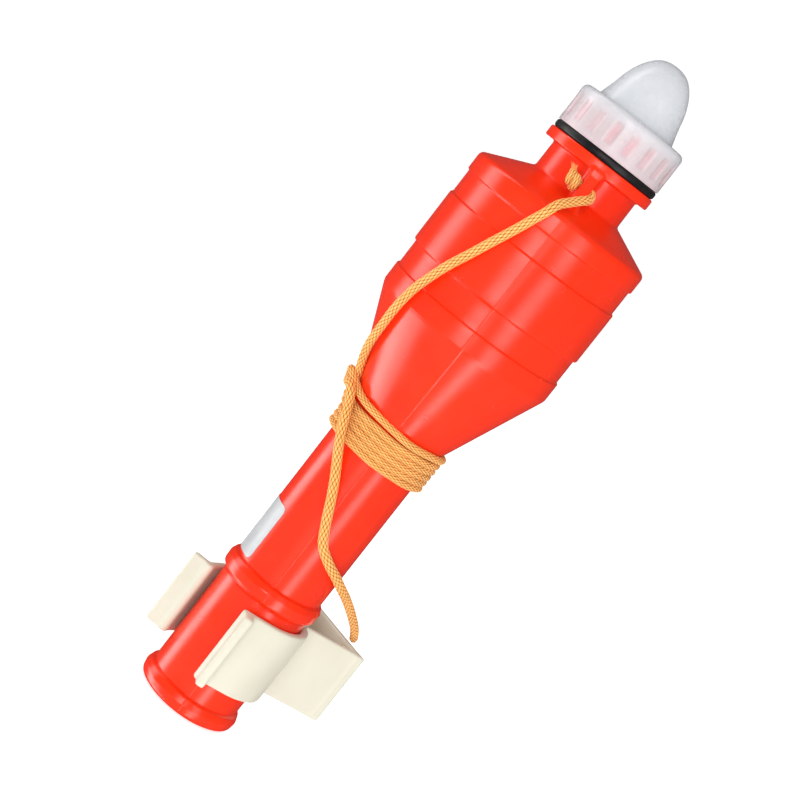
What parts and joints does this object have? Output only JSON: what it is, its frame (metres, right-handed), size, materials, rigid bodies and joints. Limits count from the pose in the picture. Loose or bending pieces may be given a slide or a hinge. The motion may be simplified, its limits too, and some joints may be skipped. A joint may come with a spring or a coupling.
{
  "type": "lifebuoy light",
  "caption": "Self-igniting lifebuoy light: a buoyant bottle-shaped float with a battery tube, screwed lens cap, tilt-switched lamp, wound lanyard and spring clip bracket.",
  "frame": {"origin": "centre of the flat base of the battery tube, on the tube's axis", "axes": "+Z along the battery tube towards the lens; +Y is the outward normal of the clip bracket's mounting face"},
  "size_m": [0.0802, 0.0964, 0.32],
  "materials": {
    "float_plastic": "semi-gloss blow-moulded polyethylene, orange-red",
    "lens_plastic": "milky translucent polypropylene",
    "seal_rubber": "matte black",
    "lanyard": "braided polypropylene, orange",
    "label": "satin white film, blank",
    "clip_plastic": "satin ivory",
    "liner": "rolled card tube",
    "steel": "nickel-plated",
    "brass": "bright",
    "cell_jacket": "printed jacket, plain colour",
    "cell_fill": "compressed powder",
    "black_plastic": "matte",
    "white_plastic": "satin",
    "glass": "clear",
    "clear_plastic": "clear",
    "wire": "insulation, red"
  },
  "bodies": {
    "float": {"float_body": "float_plastic", "label_plate": "label", "lanyard_knot": "lanyard", "lanyard_run": "lanyard", "lanyard_windings": "lanyard", "lanyard_tail": "lanyard", "battery_sleeve": "liner", "negative_plate": "steel", "bottom_spring": "steel", "contact_strip": "brass", "lamp_holder": "white_plastic", "holder_plate": "white_plastic", "plate_screws": "steel", "positive_rivet": "brass", "lamp_socket": "brass", "socket_base": "black_plastic", "centre_contact": "brass", "lamp_base": "brass", "lamp_glass": "glass", "lamp_filament": "steel", "switch_housing": "clear_plastic", "switch_plug": "black_plastic", "switch_pins": "brass", "lead_wires": "wire"},
    "stack": {"cell_1": "cell_jacket", "cell_2": "cell_jacket", "cell_3": "cell_jacket", "cell_4": "cell_jacket", "cell_cores": "cell_fill", "cell_seals": "black_plastic", "cell_caps": "steel"},
    "ball": {"switch_ball": "steel"},
    "seal": {"seal_ring": "seal_rubber"},
    "cap": {"lens_cap": "lens_plastic"},
    "clip": {"clip_saddle": "clip_plastic"},
    "arm_right": {"clip_arm_right": "clip_plastic"},
    "arm_left": {"clip_arm_left": "clip_plastic"}
  },
  "joints": [
    {"name": "seal_lift", "type": "slide", "parent": "float", "child": "seal", "axis": [0, 0, 1], "range_m": [0, 0.012]},
    {"name": "cap_unscrew", "type": "hinge", "parent": "seal", "child": "cap", "pos_m": [0, 0, 0.286], "axis": [0, 0, 1], "range_deg": [0, 1080]},
    {"name": "stack_press", "type": "slide", "parent": "float", "child": "stack", "axis": [0, 0, 1], "range_m": [-0.002, 0], "stiffness_N_per_m": 1200, "springref_m": 0.006, "deforming": ["bottom_spring"]},
    {"name": "ball_drop", "type": "slide", "parent": "float", "child": "ball", "axis": [0, 0, 1], "range_m": [0, 0.0055]},
    {"name": "clip_release", "type": "slide", "parent": "float", "child": "clip", "axis": [0, 1, 0], "range_m": [0, 0.02]},
    {"name": "arm_right_flex", "type": "hinge", "parent": "clip", "child": "arm_right", "pos_m": [0.01112, 0.01927, 0.0357], "axis": [0, 0, 1], "range_deg": [0, 15]},
    {"name": "arm_left_flex", "type": "hinge", "parent": "clip", "child": "arm_left", "pos_m": [-0.01112, 0.01927, 0.0357], "axis": [0, 0, -1], "range_deg": [0, 15]}
  ],
  "couplings": [
    {"joint": "seal_lift", "follows": "cap_unscrew", "m_per_rad": 0.000636},
    {"joint": "arm_right_flex", "follows": "clip_release", "rad_per_m": 13},
    {"joint": "arm_left_flex", "follows": "clip_release", "rad_per_m": 13}
  ]
}
